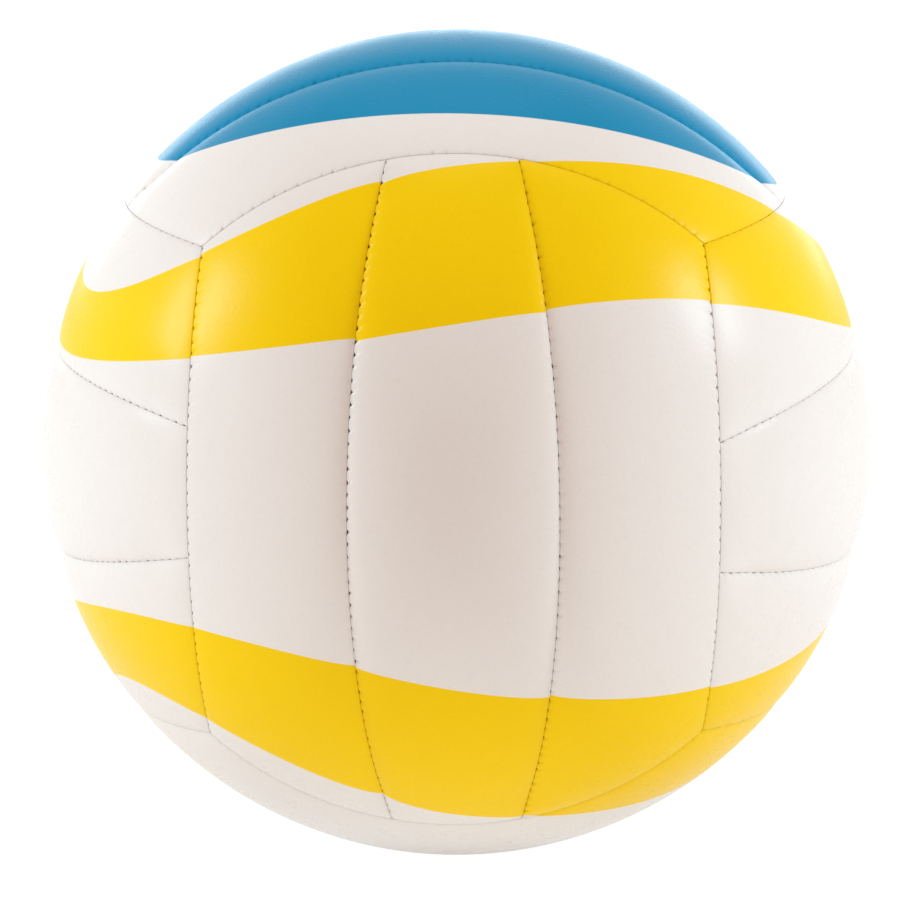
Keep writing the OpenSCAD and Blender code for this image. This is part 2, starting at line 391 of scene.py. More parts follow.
class Recipe:
    """A material while its nodes are being written."""

    def __init__(self, name: str) -> None:
        """Starts an empty material of this name."""
        self.material = bpy.data.materials.new(name)
        self.material.use_nodes = True
        self.tree = self.material.node_tree
        self.tree.nodes.clear()

    @classmethod
    def on(cls, tree: NodeTree) -> "Recipe":
        """Starts again on a node tree that is there already, such as the world's."""
        recipe = cls.__new__(cls)
        recipe.tree = tree
        tree.nodes.clear()
        return recipe

    @staticmethod
    def find(sockets: bpy.types.bpy_prop_collection, key: Union[int, str]) -> NodeSocket:
        """The socket in use with this place or name."""
        used = [socket for socket in sockets if socket.enabled]
        return used[key] if isinstance(key, int) else next(s for s in used if s.name == key)

    def node(self, kind: str, settings: dict, values: dict, outlet: Union[int, str] = 0) -> Signal:
        """Adds one node.

        Args:
            kind: The node's type.
            settings: Its settings, which are set first.
            values: For each input socket, by place or name, its value or the signal it reads.
            outlet: The output that is returned.

        Returns:
            The signal of that output.
        """
        node = self.tree.nodes.new(kind)
        for name, setting in settings.items():
            setattr(node, name, setting)
        for key, value in values.items():
            socket = self.find(node.inputs, key)
            if isinstance(value, Signal):
                self.tree.links.new(value.socket, socket)
            else:
                socket.default_value = value
        return Signal(self, self.find(node.outputs, outlet))

    def place(self) -> Signal:
        """Object coordinates, in metres."""
        return self.node("ShaderNodeTexCoord", {}, {}, "Object")

    def attribute(self, name: str, outlet: str) -> Signal:
        """A named attribute of the piece."""
        return self.node("ShaderNodeAttribute", {"attribute_name": name}, {}, outlet)

    def noise(self, grain: float, detail: float = 2.0, rough: float = 0.5) -> Signal:
        """Soft noise with grains of this size, in metres."""
        values = {"Vector": self.place(), "Scale": 1 / grain, "Detail": detail, "Roughness": rough}
        return self.node("ShaderNodeTexNoise", {}, values)

    def cells(self, size: float, feature: str) -> Signal:
        """Distances in a pattern of cells of this size, in metres."""
        values = {"Vector": self.place(), "Scale": 1 / size}
        return self.node("ShaderNodeTexVoronoi", {"feature": feature}, values, "Distance")

    def mix(self, share: Amount, first: Amount, second: Amount, blend: str = "MIX") -> Signal:
        """Two colours mixed."""
        paints = {"A": self.paint(first), "B": self.paint(second), "Factor": share}
        return self.node("ShaderNodeMix", {"data_type": "RGBA", "blend_type": blend}, paints)

    @staticmethod
    def paint(colour: Amount) -> Amount:
        """A colour with its fourth value, or the signal as it is."""
        return colour if isinstance(colour, Signal) else (*colour, 1.0)

    def bump(self, height: Signal, depth: float) -> Signal:
        """A bumped normal from a height between 0 and 1, over a depth in metres."""
        return self.node("ShaderNodeBump", {}, {"Height": height, "Distance": depth, "Strength": 1.0})

    def surface(self, values: dict) -> Material:
        """Ends the material in one Principled shader.

        Args:
            values: The shader's sockets by name, each a value or a signal.

        Returns:
            The material.
        """
        values = {key: self.paint(value) if "Color" in key else value for key, value in values.items()}
        shader = self.node("ShaderNodeBsdfPrincipled", {}, values)
        self.end(shader)
        return self.material

    def end(self, shader: Signal, kind: str = "ShaderNodeOutputMaterial") -> None:
        """Links a shader to the output of the material or the world."""
        self.tree.links.new(shader.socket, self.tree.nodes.new(kind).inputs["Surface"])


@dataclass(frozen=True)
class PrintEdge:
    """The edge of a printed band: its height above the equator, in degrees, round the ball."""

    height: float
    swing: float
    swing_start: float
    ripple: float
    ripple_start: float

    def signal(self, azimuth: Signal) -> Signal:
        """The edge's height at an azimuth in radians."""
        swing = (azimuth * 2 + math.radians(self.swing_start)).cos() * self.swing
        ripple = (azimuth * 4 + math.radians(self.ripple_start)).cos() * self.ripple
        return swing + ripple + self.height


@dataclass(frozen=True)
class PrintedLeather:
    """The cover's synthetic leather: pebble grain under printed areas of plain colour, darkened with
    painted shade in the grain's creases and along the seams.
    """

    white: Colour = (0.82, 0.785, 0.75)
    yellow: Colour = (0.94, 0.63, 0.0)
    blue: Colour = (0.0, 0.25, 0.465)
    upper_band: tuple[PrintEdge, PrintEdge] = (
        PrintEdge(22.2, 6.1, -37, 0.6, -162), PrintEdge(39.9, 12.8, -33, 1.9, 105))
    lower_band: tuple[PrintEdge, PrintEdge] = (
        PrintEdge(-42.5, 11.1, 118, 2.3, -115), PrintEdge(-22.0, 5.1, 93, 0.5, 163))
    crown: tuple[float, float, float] = (0.03, 0.743, 0.494)
    edge_softness: float = 0.08
    crown_softness: float = 0.004
    pebble: float = 0.75 * MM
    pebble_depth: float = 0.025 * MM
    crease_edge: float = 0.62
    # Painted shade in the grain's creases, as a share of the colour.
    crease_shade: float = 0.03
    crease_roughness: float = 0.03
    fine_grain: float = 0.28 * MM
    fine_share: float = 0.2
    mottle: float = 22 * MM
    mottle_shade: float = 0.03
    # Painted shade at the seams: how much darker the leather is painted there, and how far that reaches,
    # in mm.
    seam_shade: float = 0.1
    seam_reach: float = 0.5
    wear: float = 9 * MM
    wear_roughness: float = 0.12
    roughness: float = 0.28
    gloss: float = 0.095

    def bands(self, recipe: Recipe) -> tuple[Signal, Signal]:
        """The masks of the yellow bands and of the blue area."""
        place = recipe.node("ShaderNodeVectorMath", {"operation": "NORMALIZE"},
                            {0: recipe.attribute("print_place", "Vector")})
        x = recipe.node("ShaderNodeSeparateXYZ", {}, {0: place})
        y, z = x.sibling(1), x.sibling(2)
        azimuth = x.maths("ARCTAN2", x, y * -1)
        height = z.maths("ARCSINE", z) * (180 / math.pi)
        masks = []
        for low, high in (self.upper_band, self.lower_band):
            over = (height - low.signal(azimuth)).above(0, self.edge_softness)
            under = (high.signal(azimuth) - height).above(0, self.edge_softness)
            masks.append(over.least(under))
        shift, long, short = self.crown
        oval = ((x - shift) / long) ** 2 + (y / short) ** 2
        blue = (1 - oval).above(0, self.crown_softness) * z.above(0, 0.01)
        return masks[0].most(masks[1]), blue

    def material(self) -> Material:
        """The printed leather's material."""
        recipe = Recipe("printed leather")
        yellow, blue = self.bands(recipe)
        pebbles = recipe.cells(self.pebble, "SMOOTH_F1")
        creases = pebbles.above(self.crease_edge, 0.5)
        mottle = recipe.noise(self.mottle, 3.0, 0.6)
        seam = recipe.attribute("seam_distance", "Fac") / MM
        ink = recipe.mix(yellow, self.white, self.yellow)
        ink = recipe.mix(blue, ink, self.blue)
        # Painted shade: the colour is darkened in the grain's creases and towards the seams, where shade
        # falls; the mottle adds the leather's own random tone.
        shade = 1 - creases * self.crease_shade - seam.fade(self.seam_reach) * self.seam_shade
        shade = shade - (mottle - 0.5) * self.mottle_shade
        tone = recipe.node("ShaderNodeCombineXYZ", {}, {0: shade, 1: shade, 2: shade})
        # From here the print carries that painted shade and the mottle.
        ink = recipe.mix(1.0, ink, tone, "MULTIPLY")
        fine = recipe.noise(self.fine_grain, 3.0, 0.6)
        grain = (1 - pebbles) * (1 - self.fine_share) + fine * self.fine_share
        wear = (recipe.noise(self.wear, 4.0, 0.6) - 0.5) * self.wear_roughness
        return recipe.surface({
            "Base Color": ink,
            "Roughness": wear + creases * self.crease_roughness + self.roughness,
            "Specular IOR Level": self.gloss,
            "Normal": recipe.bump(grain, self.pebble_depth),
        })


@dataclass(frozen=True)
class ClosedFoam:
    """Closed-cell foam behind the leather."""

    colour: Colour = (0.82, 0.82, 0.80)
    cell: float = 0.5 * MM
    cell_depth: float = 0.08 * MM

    def material(self) -> Material:
        """The foam's material."""
        recipe = Recipe("closed-cell foam")
        cells = recipe.cells(self.cell, "F1")
        tint = recipe.mix(cells.above(0.5, 0.8), self.colour, [0.86 * part for part in self.colour])
        return recipe.surface({
            "Base Color": tint,
            "Roughness": 0.78 + cells * 0.12,
            "Normal": recipe.bump(cells, self.cell_depth),
        })


@dataclass(frozen=True)
class WovenCloth:
    """Plain cotton weave, in the object's own directions."""

    name: str
    colour: Colour
    thread: float = 0.45 * MM
    weave_depth: float = 0.12 * MM

    def material(self) -> Material:
        """The cloth's material."""
        recipe = Recipe(self.name)
        x = recipe.node("ShaderNodeSeparateXYZ", {}, {0: recipe.place()})
        waves = [(axis * (math.pi / self.thread)).sin() for axis in (x, x.sibling(1), x.sibling(2))]
        weave = waves[0] * waves[1] + waves[1] * waves[2] + waves[2] * waves[0]
        height = (weave * 0.3 + 0.5).clamped()
        slub = recipe.noise(3 * MM, 2.0)
        # The colour is darker where the weave lies low, as painted shade between the threads, and also
        # follows the slub, the yarn's own uneven tone.
        dark = [0.72 * part for part in self.colour]
        return recipe.surface({
            "Base Color": recipe.mix(height * 0.6 + slub * 0.4, dark, self.colour),
            "Roughness": 0.95 - height * 0.1,
            "Normal": recipe.bump(height, self.weave_depth),
        })


@dataclass(frozen=True)
class TwistedThread:
    """Waxed polyester sewing thread."""

    colour: Colour = (0.42, 0.40, 0.37)
    ply: float = 0.25 * MM
    ply_depth: float = 0.06 * MM

    def material(self) -> Material:
        """The thread's material."""
        recipe = Recipe("twisted thread")
        plies = recipe.noise(self.ply)
        # The colour is darker where the plies lie low: painted shade in the grooves between them.
        dark = [0.5 * part for part in self.colour]
        return recipe.surface({
            "Base Color": recipe.mix(plies, dark, self.colour),
            "Roughness": 0.6 + plies * 0.2,
            "Normal": recipe.bump(plies, self.ply_depth),
        })


@dataclass(frozen=True)
class MouldedRubber:
    """Moulded rubber with a faint bloom."""

    name: str
    colour: Colour
    roughness: float = 0.6
    bloom: float = 4 * MM
    relief: float = 0.05 * MM

    def material(self) -> Material:
        """The rubber's material."""
        recipe = Recipe(self.name)
        bloom = recipe.noise(self.bloom, 4.0, 0.65)
        fine = recipe.noise(0.3 * MM, 3.0)
        pale = [min(1.0, part * 1.5 + 0.02) for part in self.colour]
        return recipe.surface({
            "Base Color": recipe.mix(bloom.above(0.6, 0.4), self.colour, pale),
            "Roughness": bloom * 0.2 + (self.roughness - 0.1),
            "Normal": recipe.bump(fine * 0.5 + bloom * 0.5, self.relief),
        })


@dataclass
class StripShape:
    """A layer of one strip: a flat grid that is laid on the ball between the strip's four seams.

    The ball is a little pillowed: every strip sinks towards the seams around it.
    """

    layout: Layout
    group: Group
    strip: Strip
    valley: float = 1.1
    valley_reach: float = 6.5
    crease: float = 0.36
    crease_reach: float = 2.0
    rim_share: float = 0.34
    junction_reach: float = 14.0

    @property
    def name(self) -> str:
        """The strip's name, without an ending."""
        return f"{self.group.label}_{self.group.strip_label(self.strip)}"

    @property
    def ball(self) -> float:
        """The ball's radius in mm."""
        return self.layout.radius / MM

    def lay(self, across: Array, along: Array, insets: Sequence[Array]) -> tuple:
        """Lays a flat grid on the unit ball.

        Args:
            across: Place between the low and the high side, from 0 to 1.
            along: Place between the near and the far end, from 0 to 1.
            insets: How far the grid is drawn in from its low side, high side and ends, in mm.

        Returns:
            The points, each point's run along the strip from its middle, and its distances
            from the near and the far end, in mm.
        """
        low, high = self.layout.sides(self.group, self.strip)
        near, far = self.layout.ends()
        low_arc, high_arc, end_arc = (inset / self.ball for inset in insets)
        share = across[:, None]
        normal = low.normal * (1 - share) + high.normal * share
        offset = low.moved(low_arc) * (1 - across) + high.moved(-high_arc) * across
        length = np.linalg.norm(normal, axis=1)
        circle = SeamCircle.of(normal / length[:, None], offset / length)
        start, stop = circle.meets(near, end_arc, -1), circle.meets(far, end_arc, 1)
        angle = start + (stop - start) * along
        scale = circle.radius * self.ball
        return circle.point(angle), angle * scale, (angle - start) * scale, (stop - angle) * scale

    def width(self, along: Array, inset: Array) -> Array:
        """The strip's width at places along it, in mm."""
        low, high = (self.lay(np.full(len(along), side), along, (inset,) * 3)[0]
                     for side in (0.0, 1.0))
        return 2 * self.ball * np.arcsin(np.linalg.norm(high - low, axis=1) / 2)

    def sink(self, gaps: Array) -> Array:
        """How far the ball sinks, more at the seams within a group than round the group.

        Args:
            gaps: Distances from the low side, the high side, the near end and the far end, in mm.

        Returns:
            The depths, in mm.
        """
        ease = np.clip(np.minimum(gaps[2], gaps[3]) / self.junction_reach, 0, 1)
        inner = self.rim_share + (1 - self.rim_share) * ease * ease * (3 - 2 * ease)
        rim = np.full_like(inner, self.rim_share)
        share = np.stack([rim if self.strip is Strip.LOW else inner,
                          rim if self.strip is Strip.HIGH else inner, rim, rim]) ** 4
        parts = ((self.valley, self.valley_reach), (self.crease, self.crease_reach))
        return sum(depth * (share * np.exp(-4 * gaps / reach)).sum(axis=0) ** 0.25
                   for depth, reach in parts)

    def wrap(self, bm: BMesh, points: Array, depth: Array) -> Array:
        """Moves the grid's vertices to points on the unit ball, at depths in mm.

        Returns:
            The vertices' places, in metres.
        """
        places = (points @ np.array(self.group.turn).T) * ((self.ball - depth) * MM)[:, None]
        for vertex, place in zip(bm.verts, places):
            vertex.co = place
        bmesh.ops.recalc_face_normals(bm, faces=bm.faces[:])
        face = max(bm.faces, key=lambda each: each.calc_center_median().length)
        if face.normal.dot(face.calc_center_median()) < 0:
            bmesh.ops.reverse_faces(bm, faces=bm.faces[:])
        return places


@dataclass
class CoverPanel(StripShape):
    """One strip of the cover, with its edges turned down into the seams and their stitch marks."""

    columns: int = 440
    rim_rows: tuple[float, ...] = (0, 0.4, 0.9, 1.6, 2.8, 4.6)
    rows: int = 26
    half_gap: float = 0.01
    lip: float = math.radians(64)
    rounding_steps: int = 4
    wall_depths: tuple[float, ...] = (1.0, 1.7, 2.4)
    stitch_pitch: float = 3.1
    notch_width: float = 0.28
    notch_shift: float = 0.3
    notch_depth: float = 0.22
    notch_reach: float = 0.7
    notch_lean: float = 0.6
    pull_range: tuple[float, float] = (0.5, 1.1)
    hard_pull: float = 0.5
    hard_pull_share: float = 0.12
    stitch_slip: float = 0.14
    rim_pull: float = 0.7
    unevenness: float = 0.3
    uneven_stitches: float = 13.0
    leather: float = 0.6
    misprint: float = math.radians(0.3)

    def sheet(self) -> BMesh:
        """A flat grid from -1 to 1, whose rim goes on downwards in rings one unit apart."""
        bm = bmesh.new()
        bmesh.ops.create_grid(bm, x_segments=self.rows, y_segments=self.columns, size=1.0)
        rim = [edge for edge in bm.edges if edge.is_boundary]
        for _ in range(self.rounding_steps + len(self.wall_depths)):
            grown = bmesh.ops.extrude_edge_only(bm, edges=rim)["geom"]
            fresh = [part for part in grown if isinstance(part, BMVert)]
            bmesh.ops.translate(bm, vec=(0, 0, -1), verts=fresh)
            rim = [part for part in grown if isinstance(part, BMEdge) and part.is_boundary]
        return bm

    def ring_shape(self, ring: Array) -> tuple[Array, Array]:
        """How far each ring of the rim is drawn in from the seam, and how deep it lies, in mm."""
        steps, rounding = self.rounding_steps, self.group.rounding
        turn = np.minimum(ring / steps, 1) * self.lip
        inset = self.half_gap + rounding * (math.sin(self.lip) - np.sin(turn))
        depth = rounding * (1 - np.cos(turn))
        walls = np.array([rounding * (1 - math.cos(self.lip)), *self.wall_depths])
        depth = np.where(ring > steps, np.interp(ring - steps, range(len(walls)), walls), depth)
        return inset, depth

    def across(self, row: Array, width: Array) -> Array:
        """Where each row lies across the strip, from 0 to 1, for the strip's width in mm there."""
        near = np.array(self.rim_rows)
        margin, last = near[-1], len(near) - 1
        inner = (row - last) / (self.rows - 2 * last)
        low = np.interp(row, range(len(near)), near)
        high = width - np.interp(self.rows - row, range(len(near)), near)
        middle = margin + inner * (width - 2 * margin)
        return np.where(row <= last, low, np.where(row >= self.rows - last, high, middle)) / width

    def pull(self, side: Strip) -> float:
        """How hard the thread pulls on the low or the high side of the strip."""
        if side is self.strip:
            return self.rim_pull
        near, far = self.group.pulls
        return near if side is Strip.LOW else far

    def notch(self, run: Array, distance: Array, side: str) -> Array:
        """How strongly the thread pulls at each point, from 0 to about 1.

        Args:
            run: Place along the seam from its middle, in mm.
            distance: Distance from the seam's edge, in mm.
            side: The side's name, which sets how even its stitches are.

        Returns:
            The pull at each point.
        """
        luck = np.random.default_rng(sum(map(ord, self.name + side)))
        count = 2 * math.ceil(np.abs(run).max() / self.stitch_pitch) + 2
        stitch = (np.floor(run / self.stitch_pitch) + count // 2).astype(int) % count
        strength, slip = luck.uniform(*self.pull_range, count), luck.normal(0, self.stitch_slip, count)
        strength += self.hard_pull * (luck.random(count) > 1 - self.hard_pull_share)
        swell = np.arange(count) / self.uneven_stitches + luck.uniform(0, 2 * math.pi)
        strength *= 1 - self.unevenness * np.sin(swell)
        off = (np.mod(run / self.stitch_pitch, 1) - 0.5) * self.stitch_pitch - slip[stitch]
        off = off - self.notch_lean * distance
        spread = -0.5 * (off / self.notch_width) ** 2 - distance / self.notch_reach
        return strength[stitch] * np.exp(spread)

    def build(self) -> Object:
        """Builds the strip's leather.

        Returns:
            The piece, with the attributes that its material reads.
        """
        bm = self.sheet()
        flat = np.array([vertex.co for vertex in bm.verts])
        along = (flat[:, 1] + 1) / 2
        inset, depth = self.ring_shape(-flat[:, 2])
        width = self.width(along, inset)
        across = self.across(np.rint((flat[:, 0] + 1) / 2 * self.rows), width)
        _, run, near_gap, far_gap = self.lay(across, along, (inset, inset, inset))
        gaps = np.stack([across * width, (1 - across) * width, near_gap, far_gap])
        low_pull = self.notch(run, gaps[0], "low") * self.pull(Strip.LOW)
        high_pull = self.notch(run, gaps[1], "high") * self.pull(Strip.HIGH)
        insets = (inset + self.notch_shift * low_pull, inset + self.notch_shift * high_pull, inset)
        points = self.lay(across, along, insets)[0]
        depth = depth + self.sink(gaps) + self.notch_depth * (low_pull + high_pull)
        places = self.wrap(bm, points, depth)
        piece = finished(bm, f"{self.name}_cover")
        self.mark(piece, places, gaps.min(axis=0) + inset)
        return piece

    def mark(self, piece: Object, places: Array, seam: Array) -> None:
        """Writes the place on the print and the distance from the seam, in metres, into the mesh."""
        luck = random.Random(self.name)
        slip = Euler([luck.uniform(-self.misprint, self.misprint) for _ in range(3)]).to_matrix()
        mesh = piece.data
        spot = mesh.attributes.new("print_place", "FLOAT_VECTOR", "POINT")
        spot.data.foreach_set("vector", (places @ np.array(slip).T).astype(np.float32).ravel())
        rim = mesh.attributes.new("seam_distance", "FLOAT", "POINT")
        rim.data.foreach_set("value", (seam * MM).astype(np.float32))

    def dress(self, piece: Object, leather: Material) -> None:
        """Gives the strip its thickness and its leather, and lets it stand for its CAD node."""
        wall = piece.modifiers.new("leather", "SOLIDIFY")
        wall.thickness, wall.offset = self.leather * MM, -1
        stand_in(piece, leather, f"{self.name}_panel")


@dataclass
class FoamPad(StripShape):
    """The foam behind one strip: full in the middle, and pressed thin towards the seams."""

    columns: int = 72
    rows: int = 20
    inset: float = 1.2
    top: float = 0.75
    bottom: float = 2.7

    def build(self) -> Object:
        """Builds the pad as a closed slab."""
        bm = bmesh.new()
        bmesh.ops.create_grid(bm, x_segments=self.rows, y_segments=self.columns, size=1.0)
        grown = bmesh.ops.extrude_face_region(bm, geom=bm.faces[:], use_keep_orig=True)["geom"]
        under = [part for part in grown if isinstance(part, BMVert)]
        bmesh.ops.translate(bm, vec=(0, 0, -1), verts=under)
        flat = np.array([vertex.co for vertex in bm.verts])
        across, along = (flat[:, 0] + 1) / 2, (flat[:, 1] + 1) / 2
        inset = np.full(len(flat), self.inset)
        points, _, near_gap, far_gap = self.lay(across, along, (inset, inset, inset))
        width = self.width(along, inset)
        gaps = np.stack([across * width, (1 - across) * width, near_gap, far_gap]) + self.inset
        depth = np.where(flat[:, 2] < -0.5, self.bottom, self.top + self.sink(gaps))
        self.wrap(bm, points, depth)
        return finished(bm, f"{self.name}_pad")

    def dress(self, piece: Object, foam: Material) -> None:
        """Gives the pad its foam, and lets it stand for its CAD node."""
        stand_in(piece, foam, f"{self.name}_foam")


@dataclass
class SeamStitching:
    """The stitches of one group: a thread along each seam and a loop across it at each hole."""

    layout: Layout
    group: Group
    pitch: float = 3.1
    loop_depth: float = 2.75
    loop_radius: float = 0.75
    thread_radius: float = 0.24
    run_depth: float = 3.2
    run_trim: float = 1.2
    slant: float = math.radians(18)

    def seams(self) -> Iterator[tuple[SeamPlane, float, float]]:
        """The group's seams: each plane with the angles of its two ends along its circle."""
        near, far = self.layout.ends()
        sides = [self.layout.sides(self.group, strip) for strip in Strip]
        for plane in (sides[0][0], sides[0][1], sides[1][1], sides[2][1]):
            circle = self.circle(plane)
            none = np.zeros(1)
            yield plane, float(circle.meets(near, none, -1)[0]), float(circle.meets(far, none, 1)[0])

    @staticmethod
    def circle(plane: SeamPlane) -> SeamCircle:
        """The circle of one seam."""
        return SeamCircle.of(plane.normal[None, :], np.array([plane.offset]))

    def loop(self) -> BMesh:
        """One loop of thread round +X, its middle at the origin."""
        bm = bmesh.new()
        ring = bmesh.ops.create_circle(bm, segments=6, radius=self.thread_radius * MM)["verts"]
        bmesh.ops.rotate(bm, verts=ring, cent=(0, 0, 0), matrix=Matrix.Rotation(math.pi / 6, 3, "Z"))
        bmesh.ops.translate(bm, verts=ring, vec=(0, self.loop_radius * MM, 0))
        bmesh.ops.rotate(bm, verts=ring, cent=(0, 0, 0), matrix=Matrix.Rotation(math.pi / 2, 3, "Y"))
        bmesh.ops.spin(bm, geom=bm.verts[:] + bm.edges[:], axis=(1, 0, 0), cent=(0, 0, 0),
                       angle=2 * math.pi, steps=8, use_merge=True)
        return bm

    def build(self) -> Object:
        """Builds the group's stitches as one piece."""
        ball = self.layout.radius / MM
        bm = bmesh.new()
        loop = finished(self.loop(), "loop")
        for plane, start, stop in self.seams():
            circle = self.circle(plane)
            reach = float(circle.radius[0]) * ball
            first, last = (int(angle * reach / self.pitch) for angle in (start, stop))
            for index in range(first, last):
                self.lay_loop(bm, loop.data, circle, (index + 0.5) * self.pitch / reach)
            self.lay_run(bm, circle, plane, start, stop)
        bpy.data.meshes.remove(loop.data)
        bmesh.ops.recalc_face_normals(bm, faces=bm.faces[:])
        return finished(bm, f"{self.group.label}_stitches")

    def lay_loop(self, bm: BMesh, loop: Mesh, circle: SeamCircle, angle: float) -> None:
        """Adds one loop across a seam, at an angle along it."""
        turn = self.group.turn
        spot = Vector(circle.point(np.array([angle]))[0])
        onward = circle.heading(angle)
        across = spot.cross(onward).normalized()
        side = Matrix((onward, across, spot)).transposed() @ Matrix.Rotation(self.slant, 3, "Z")
        before = len(bm.verts)
        bm.from_mesh(loop)
        bm.verts.ensure_lookup_table()
        fresh = bm.verts[before:]
        bmesh.ops.rotate(bm, verts=fresh, cent=(0, 0, 0), matrix=turn @ side)
        depth = self.layout.radius - self.loop_depth * MM
        bmesh.ops.translate(bm, verts=fresh, vec=turn @ spot * depth)

    def lay_run(self, bm: BMesh, circle: SeamCircle, plane: SeamPlane,
                start: float, stop: float) -> None:
        """Adds the thread that runs along a seam, below the loops."""
        turn = self.group.turn
        depth = self.layout.radius - self.run_depth * MM
        trim = self.run_trim * MM / depth
        ring = bmesh.ops.create_circle(bm, segments=8, radius=self.thread_radius * MM,
                                       cap_ends=True)["verts"]
        spot = Vector(circle.point(np.array([start + trim]))[0]) * depth
        axis = turn @ Vector(plane.normal)
        facing = Vector((0, 0, 1)).rotation_difference(turn @ circle.heading(start + trim)).to_matrix()
        bmesh.ops.rotate(bm, verts=ring, cent=(0, 0, 0), matrix=facing)
        bmesh.ops.translate(bm, verts=ring, vec=turn @ spot)
        geometry = ring + list({edge for vertex in ring for edge in vertex.link_edges})
        geometry += list({face for vertex in ring for face in vertex.link_faces})
        centre = turn @ Vector(circle.centre[0]) * depth
        bmesh.ops.spin(bm, geom=geometry, axis=axis, cent=centre,
                       angle=-(stop - start - 2 * trim), steps=48)

    def dress(self, piece: Object, thread: Material) -> None:
        """Gives the stitches their thread, and lets them stand for their CAD node."""
        stand_in(piece, thread, f"{self.group.label}_stitching")


@dataclass
class Valve:
    """The valve in the back group: a rubber boot, whose head shows in the leather, and its core."""

    layout: Layout
    hole_radius: float = 4.2
    hole_depth: float = 9.0
    lip: float = 0.7
    boot_rounding: float = 0.18
    boot_corners: tuple[Place, ...] = (
        (2.6, 0.7), (4.0, 0.7), (4.0, 5.4), (12.9, 6.2), (12.9, 7.2), (5.5, 6.6),
        (5.5, 14.1), (2.6, 14.1), (2.6, 12.1), (3.8, 12.1), (3.8, 7.9), (2.6, 7.9))
    core_rounding: float = 0.15
    core_corners: tuple[Place, ...] = (
        (0, 15.9), (1.1, 15.9), (2.5, 12.0), (3.7, 12.0), (3.7, 8.0), (2.5, 8.0), (2.5, 1.0),
        (1.9, 1.0), (1.1, 1.6), (1.1, 7.0), (0, 7.0))

    def profile(self, corners: Sequence[Place]) -> list[Place]:
        """Corners (distance from the axis, depth below the surface), in mm, as places in metres."""
        return [(across * MM, self.layout.radius - depth * MM) for across, depth in corners]

    def pierce(self, layer: Object) -> None:
        """Cuts the hole for the boot's head into a layer of the back group's middle strip."""
        mouth = self.hole_radius + 3 * self.lip
        corners = [(0, self.hole_depth), (self.hole_radius, self.hole_depth),
                   (self.hole_radius, self.lip + 0.25)]
        corners += [(self.hole_radius + self.lip * (1 - math.cos(turn)), self.lip * (1 - math.sin(turn)))
                    for turn in np.radians([25, 50, 75])]
        corners += [(mouth, -0.6), (mouth, -3), (0, -3)]
        cutter = finished(turned_part(self.profile(corners), 0.0, 72), "cutter")
        cut = layer.modifiers.new("valve hole", "BOOLEAN")
        cut.operation, cut.solver, cut.object = "DIFFERENCE", "EXACT", cutter
        settled(layer)
        bpy.data.objects.remove(cutter)

    def build_boot(self) -> Object:
        """Builds the boot: a head, a stem with its chamber, and the flange inside the bladder."""
        bm = turned_part(self.profile(self.boot_corners), self.boot_rounding * MM)
        return finished(bm, "valve_boot_moulding")

    def build_core(self) -> Object:
        """Builds the core: a plug with a bulb, a tapered tip and the hole for the needle."""
        bm = turned_part(self.profile(self.core_corners), self.core_rounding * MM)
        return finished(bm, "valve_core_plug")

    def dress(self, boot: Object, core: Object, grey: Material, black: Material) -> None:
        """Gives the valve its rubbers, and lets its pieces stand for their CAD nodes."""
        stand_in(boot, grey, "valve_boot")
        stand_in(core, black, "valve_core")


@dataclass(frozen=True)
class Softbox:
    """A square lamp, placed by its angles round the ball and pointed at the ball."""

    name: str
    azimuth: float
    elevation: float
    distance: float
    size: tuple[float, float]
    power: float

    def set_up(self, tint: Colour) -> None:
        """Puts the lamp up with light of this tint, facing the ball."""
        lamp = bpy.data.lights.new(self.name, "AREA")
        lamp.shape = "RECTANGLE"
        lamp.size, lamp.size_y = self.size
        lamp.energy, lamp.color = self.power, tint
        spot = Euler((0, 0, math.radians(self.azimuth))).to_matrix() @ Vector(
            (0, -math.cos(math.radians(self.elevation)), math.sin(math.radians(self.elevation))))
        stand = bpy.data.objects.new(self.name, lamp)
        stand.location = spot * self.distance
        stand.rotation_euler = (-spot).to_track_quat("-Z", "Y").to_euler()
        bpy.context.scene.collection.objects.link(stand)


